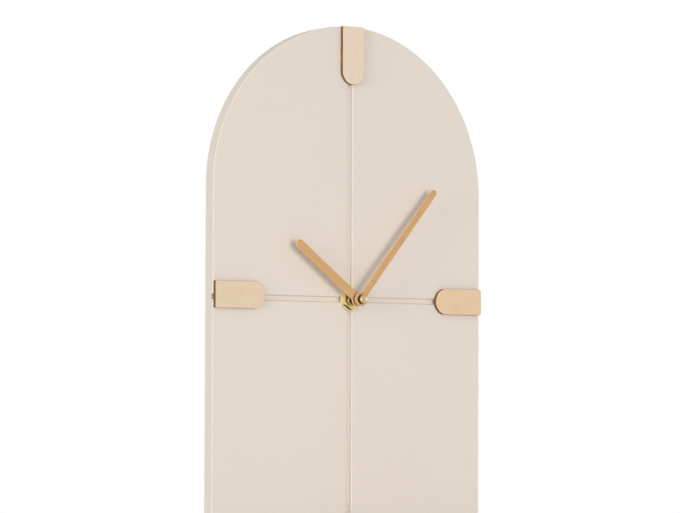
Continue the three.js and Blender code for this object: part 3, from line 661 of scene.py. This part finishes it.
# Nut and thread, with [share of the depth, share of the pitch] points for one turn of the thread
NUT_FLATS = 13.2 * MM
NUT_TURN = 2  # degrees
THREAD_RADIUS = 3.95 * MM
THREAD_PITCH = 0.75 * MM
THREAD_DEPTH = 0.32 * MM
THREAD_PLAY = 0.2 * MM
THREAD_TURN = [(1, 0.08), (0, 0.32), (0, 0.5), (1, 0.82)]


def hex_nut():
    back, front = depths("hex_nut")
    corner = NUT_FLATS / math.sqrt(3)
    mesh = bmesh.new()
    upright = Matrix.Rotation(math.radians(NUT_TURN), 4, "Y") @ Matrix.Rotation(math.pi / 2, 4, "X")
    bmesh.ops.create_circle(mesh, cap_ends=True, segments=6, radius=corner, matrix=upright)
    raise_to(mesh, -back, -front)
    chamfer = corner - NUT_FLATS / 2
    flat_face = NUT_FLATS / 2 + 0.2 * MM
    crown = [
        (0, back),
        (corner + MM, back),
        (corner + MM, front - 0.5 * chamfer),
        (flat_face, front),
        (0, front),
    ]
    mesh = carve(mesh, turned(crown, OUT, steps=72), "INTERSECT")
    bore = THREAD_RADIUS + THREAD_PLAY
    lead_in = 0.3 * MM
    thread = [
        (0, back - MM),
        (bore, back - MM),
        (bore, front - lead_in),
        (bore + lead_in, front),
        (bore + lead_in, front + MM),
        (0, front + MM),
    ]
    mesh = carve(mesh, turned(thread, OUT, steps=72))
    # The nut's lower flats and front get painted shade.
    brass = bright_brass("nut_brass", rgb(246, 222, 152), painted_dark_facets=True, roughness=0.34)
    soften(finished("brass_hex_nut", mesh, brass, "clock_body", "hex_nut"), angle=24)


def threaded_bush():
    back, front = depths("threaded_bush")
    collar_front = depths("case_front")[1]
    collar = radius_of("threaded_bush")
    bore = 2.8 * MM
    core = THREAD_RADIUS - THREAD_DEPTH
    profile = [(bore, back), (collar, back), (collar, collar_front), (core, collar_front)]
    turn_count = int((front - collar_front - 2 * THREAD_PITCH) / THREAD_PITCH)
    for i in range(turn_count):
        root = collar_front + (i + 1) * THREAD_PITCH
        for sunk, along in THREAD_TURN:
            profile.append((THREAD_RADIUS - sunk * THREAD_DEPTH, root + along * THREAD_PITCH))
    profile += [(core, front), (bore, front)]
    mesh = turned(profile, OUT, steps=64)
    brass = bright_brass("bush_brass", rgb(236, 214, 160))
    soften(finished("brass_bush", mesh, brass, "clock_body", "threaded_bush"), angle=30)


def cap_nut():
    back, front = depths("cap_nut")
    radius = radius_of("cap_nut")
    bore = 1.7 * MM
    roof = 1.0 * MM
    rim = 0.55 * MM
    dish = 0.12 * MM
    neck = 2.4 * MM
    neck_end = back + 1.7 * MM
    fillet = 0.3 * MM
    arris = 0.2 * MM
    crown = 0.5 * MM
    slope = 0.3 * MM
    profile = [(0, front - roof), (bore, front - roof), (bore, back), (neck, back)]
    profile += [(neck, neck_end - fillet), (neck + fillet, neck_end), (radius - arris, neck_end)]
    profile += [(radius, neck_end + arris), (radius, front - crown)]
    for a in angles(20, 90, 5):
        profile.append((radius - crown * (1 - math.cos(a)), front - crown * (1 - math.sin(a))))
    profile += [(radius - rim - slope, front - dish), (0, front - dish)]
    mesh = turned(profile, OUT, steps=64)
    brass = bright_brass("cap_brass", rgb(194, 176, 136), 0.22 * MM)
    soften(finished("brass_cap_nut", mesh, brass, "minute_works", "cap_nut"), angle=40)


# Movement


def front_shell():
    mesh = copy_of("case_front")
    round_edges(mesh, offset=0.35 * MM, shortest=1.2 * MM)
    black = moulded_plastic("movement_shell_plastic", rgb(30, 30, 32), 0.5)
    soften(finished("movement_shell", mesh, black, "clock_body", "case_front"), angle=30)


# Marks sunk in the rear cover, as places and sizes in the dial's plane
MARK_DEPTH = 0.3 * MM
PANEL_CORNER = 1.5 * MM
LABEL_PANEL = (11.5 * MM, 8.5 * MM, 24 * MM, 20 * MM)
POLES_X = 22.5 * MM
POLES_Z = -7.6 * MM
POLE_ARM = 3.4 * MM
POLE_LINE = 0.8 * MM
EJECTORS = [(-22 * MM, 23.5 * MM), (22 * MM, 23.5 * MM), (0, POLES_Z)]
EJECTOR_RADIUS = 2 * MM
EJECTOR_DEPTH = 0.1 * MM
ARROW_RADIUS = 8.4 * MM
ARROW_LINE = 0.8 * MM
ARROW_HEAD = 1.5 * MM
ARROW_REACH = 50  # degrees to each side


def sunk_panel(x, z, width, height):
    """A tool that sinks a rectangle with round corners into the rear cover."""
    half = Vector((width / 2, 0, height / 2))
    middle = Vector((x, 0, z))
    corner = min(PANEL_CORNER, 0.3 * min(width, height))
    return rounded_block(middle - half + OUT * MARK_DEPTH, middle + half - OUT * MM, corner)


def sunk_disc(x, z):
    """A tool for the mark that an ejector pin leaves."""
    mesh = rod(EJECTOR_RADIUS, -MM, EJECTOR_DEPTH, steps=32)
    bmesh.ops.translate(mesh, verts=mesh.verts, vec=(x, 0, z))
    return mesh


def sunk_arrow(x, z):
    """Tools for a curved arrow over the setting knob: its line, then a head at each end."""
    middle = Vector((x, 0, z))
    start = Matrix.Translation(middle) @ Matrix.Rotation(math.radians(-ARROW_REACH), 4, "Y")
    bow = bmesh.new()
    ends = [bow.verts.new(start @ Vector((0, 0, ARROW_RADIUS + s * ARROW_LINE / 2))) for s in (-1, 1)]
    bmesh.ops.spin(
        bow, geom=ends + [bow.edges.new(ends)], cent=middle, axis=(0, 1, 0), dvec=(0, 0, 0),
        angle=math.radians(2 * ARROW_REACH), steps=24, use_merge=False,
    )
    raise_to(bow, MM, -MARK_DEPTH)
    tools = [bow]
    for side in (-1, 1):
        head = bmesh.new()
        aim = Matrix.Rotation(math.radians(90 * side), 4, "Y") @ Matrix.Rotation(math.pi / 2, 4, "X")
        swing = Matrix.Rotation(math.radians(ARROW_REACH * side), 4, "Y")
        place = Matrix.Translation(middle) @ swing @ Matrix.Translation((0, 0, ARROW_RADIUS)) @ aim
        bmesh.ops.create_circle(head, cap_ends=True, segments=3, radius=ARROW_HEAD, matrix=place)
        raise_to(head, MM, -MARK_DEPTH)
        tools.append(head)
    return tools


def rear_cover():
    mesh = copy_of("case_back")
    round_edges(mesh, offset=0.3 * MM, shortest=0.8 * MM)
    low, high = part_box("setting_knob")
    tools = [sunk_panel(*LABEL_PANEL), *sunk_arrow((low[0] + high[0]) / 2, (low[2] + high[2]) / 2)]
    tools.append(sunk_panel(POLES_X, POLES_Z, POLE_ARM, POLE_LINE))
    tools.append(sunk_panel(POLES_X, POLES_Z, POLE_LINE, POLE_ARM))
    tools.append(sunk_panel(-POLES_X, POLES_Z, POLE_ARM, POLE_LINE))
    tools += [sunk_disc(*place) for place in EJECTORS]
    for tool in tools:
        mesh = carve(mesh, tool)
    black = moulded_plastic("movement_cover_plastic", rgb(30, 30, 32), 0.5)
    soften(finished("movement_cover", mesh, black, "clock_body", "case_back"), angle=30)


def setting_knob():
    mesh = copy_of("setting_knob")
    round_edges(mesh, offset=0.12 * MM, shortest=0.2 * MM)
    grey = moulded_plastic("knob_plastic", rgb(52, 52, 55), 0.42)
    soften(finished("ribbed_knob", mesh, grey, "setting", "setting_knob"), angle=30)


# Battery, with its crimped ends as [in from the sleeve, along from the end] points in millimetres
FOOT_CRIMP = [(1.6, 0), (1.3, 0.3), (0.9, 0.05), (0.3, 0.15), (0, 0.5)]
SHOULDER_CRIMP = [(0, 0.7), (0.25, 0.15), (0.8, 0), (1.3, 0.4)]
NUB_RADIUS = 2.7 * MM
NUB_LENGTH = 1.2 * MM
NUB_FILLET = 0.4 * MM
NUB_ARRIS = 0.3 * MM


def battery():
    low, high = (Vector(corner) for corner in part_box("aa_battery"))
    radius = (high.z - low.z) / 2
    half = high.x
    shoulder = half - NUB_LENGTH
    profile = [(0, -half)]
    profile += [(radius - inward * MM, -half + along * MM) for inward, along in FOOT_CRIMP]
    profile += [(radius - inward * MM, shoulder - along * MM) for inward, along in SHOULDER_CRIMP]
    profile += [(NUB_RADIUS + NUB_FILLET, shoulder - NUB_FILLET), (NUB_RADIUS, shoulder)]
    profile += [(NUB_RADIUS, half - NUB_ARRIS), (NUB_RADIUS - NUB_ARRIS, half), (0, half)]
    mesh = turned(profile, Vector((1, 0, 0)), steps=64)
    middle = (low + high) / 2
    bmesh.ops.translate(mesh, verts=mesh.verts, vec=(0, middle.y, middle.z))
    soften(finished("battery_cell", mesh, battery_sleeve(), "battery", "aa_battery"), angle=40)


def inner_works():
    """Pieces inside the case keep their CAD shape and get their finish."""
    white = moulded_plastic("white_acetal", rgb(228, 224, 214), 0.4)
    steel = plated_metal("nickel_steel", rgb(186, 188, 192), 0.3)
    gears = ("reduction_wheel", "third_wheel", "second_wheel", "intermediate_wheel")
    for node in (*gears, "rotor_pinion", "setting_arbor", "train_bridge", "coil_bobbin"):
        dress(NODES[node], white)
    for node in ("coil_core", "stator", "contact_positive", "contact_negative", "quartz_crystal"):
        dress(NODES[node], steel)
    dress(NODES["centre_wheel"], bright_brass("wheel_brass", rgb(230, 208, 152), 0.3 * MM))
    dress(NODES["minute_arbor"], bright_brass("arbor_brass", rgb(214, 184, 120)))
    # Painted shade: the hour wheel is black so that its pipe, seen in the gap behind the hour hand, darkens
    # that gap.
    dress(NODES["hour_wheel"], moulded_plastic("painted_shade_black_acetal", rgb(30, 26, 22), 0.45))
    dress(NODES["coil_winding"], wound_copper())
    dress(NODES["circuit_board"], circuit_laminate())
    dress(NODES["chip_cover"], moulded_plastic("potting_resin", rgb(14, 14, 14), 0.25, 0.005 * MM))
    dress(NODES["rotor_magnet"], moulded_plastic("sintered_magnet", rgb(74, 74, 78), 0.6))
    dress(NODES["rubber_gasket"], moulded_plastic("gasket_rubber", rgb(32, 32, 32), 0.85))


# Camera, measured from the dial's centre on the board's face
LENS = 171.41
SENSOR = 36.0
CAMERA_PLACE = Vector((-1390.2, -1911.8, -72.69)) * MM
CAMERA_AIM = Vector((-8.83, 0, 31.33)) * MM
CAMERA_ROLL = math.radians(0.198)


def camera():
    data = bpy.data.cameras.new("camera")
    data.lens = LENS
    data.sensor_width = SENSOR
    data.sensor_fit = "HORIZONTAL"
    data.clip_end = 50
    eye = bpy.data.objects.new("camera", data)
    bpy.context.scene.collection.objects.link(eye)
    dial = Vector((0, FACE, 0))
    look = (CAMERA_AIM - CAMERA_PLACE).to_track_quat("-Z", "Y").to_matrix().to_4x4()
    roll = Matrix.Rotation(CAMERA_ROLL, 4, "Z")
    eye.matrix_world = Matrix.Translation(dial + CAMERA_PLACE) @ look @ roll
    bpy.context.scene.camera = eye


# Light: a lamp has its direction from the dial, its distance, size and share of full white
LAMPS = {
    "key": ((-0.05, -1.0, 0.03), 4.0, 2.0, 0.33),
    "wash": ((-0.32, -1.0, 0.0), 4.0, 5.0, 0.165),
    "fill": ((-1.0, -0.21, 0.1), 6.0, 3.0, 0.42),
    "rear": ((0.6, 1.0, 0.0), 3.0, 1.6, 0.55),
}
AMBIENT = 0.29
LEFT_GLOW = 0.15
TOP_GLOW = 0.1
FLOOR_SIZE = 0.8
FLOOR_DROP = 2 * MM
FLOOR_GLOW = 0.46


def lamp(name, direction, distance, size, share):
    """A soft lamp that lights a white surface facing it to this share of full white."""
    data = bpy.data.lights.new(name, "AREA")
    data.shape = "DISK"
    data.size = size
    data.energy = share * math.pi**2 * (distance**2 + (size / 2) ** 2)
    box = bpy.data.objects.new(name, data)
    bpy.context.scene.collection.objects.link(box)
    way = Vector(direction).normalized()
    box.location = Vector((0, FACE, 0)) + way * distance
    box.rotation_euler = way.to_track_quat("Z", "Y").to_euler()


def surroundings():
    """White for what the camera sees and what mirrors show.

    The light that falls on the object is softer, and stronger from the left and from above.
    """
    world = bpy.data.worlds.new("studio")
    bpy.context.scene.world = world
    f = Shader(world)
    rays = ("Is Camera Ray", "Is Glossy Ray", "Is Transmission Ray")
    seen, mirrored, through = f.add("ShaderNodeLightPath", {}, {}, rays)
    way = f.add("ShaderNodeTexCoord", {}, {}, "Generated")
    x, _, z = f.axes(way)
    soft = AMBIENT + LEFT_GLOW * f.between(x, 1.0, -1.0) + TOP_GLOW * f.between(z, 0.0, 1.0)
    strength = soft + (1 - soft) * f.between(seen + mirrored + through, 0.0, 1.0)
    light = f.add("ShaderNodeBackground", {}, {"Color": (1, 1, 1, 1), "Strength": strength})
    f.add("ShaderNodeOutputWorld", {}, {"Surface": light})


def floor():
    """A pale floor that takes the shadow.

    A glow that only the camera sees brings it near the white beyond.
    """
    mesh = bmesh.new()
    place = Matrix.Translation((0, 0, BOARD_LOW.z - FLOOR_DROP))
    bmesh.ops.create_grid(mesh, x_segments=1, y_segments=1, size=FLOOR_SIZE / 2, matrix=place)
    data = bpy.data.meshes.new("floor")
    mesh.to_mesh(data)
    mesh.free()
    ground = bpy.data.objects.new("floor", data)
    bpy.context.scene.collection.objects.link(ground)
    f = new_material("floor_white")
    matt = f.add("ShaderNodeBsdfDiffuse", {}, {"Color": f.mix(f.noise(9), (0.84,) * 3, (0.88,) * 3)})
    seen = f.add("ShaderNodeLightPath", {}, {}, "Is Camera Ray")
    glow = f.add("ShaderNodeEmission", {}, {"Strength": FLOOR_GLOW * seen})
    surface = f.add("ShaderNodeAddShader", {}, {0: matt, 1: glow})
    f.add("ShaderNodeOutputMaterial", {}, {"Surface": surface})
    dress(ground, f.owner)


camera()
surroundings()
floor()
for name, details in LAMPS.items():
    lamp(name, *details)
bpy.context.scene.view_settings.view_transform = "Standard"

face_board()
for node, details in MARKERS.items():
    marker(node, *details)
for node, details in HANDS.items():
    hand(node, *details)
brass_washer()
hex_nut()
threaded_bush()
cap_nut()
front_shell()
rear_cover()
setting_knob()
battery()
inner_works()
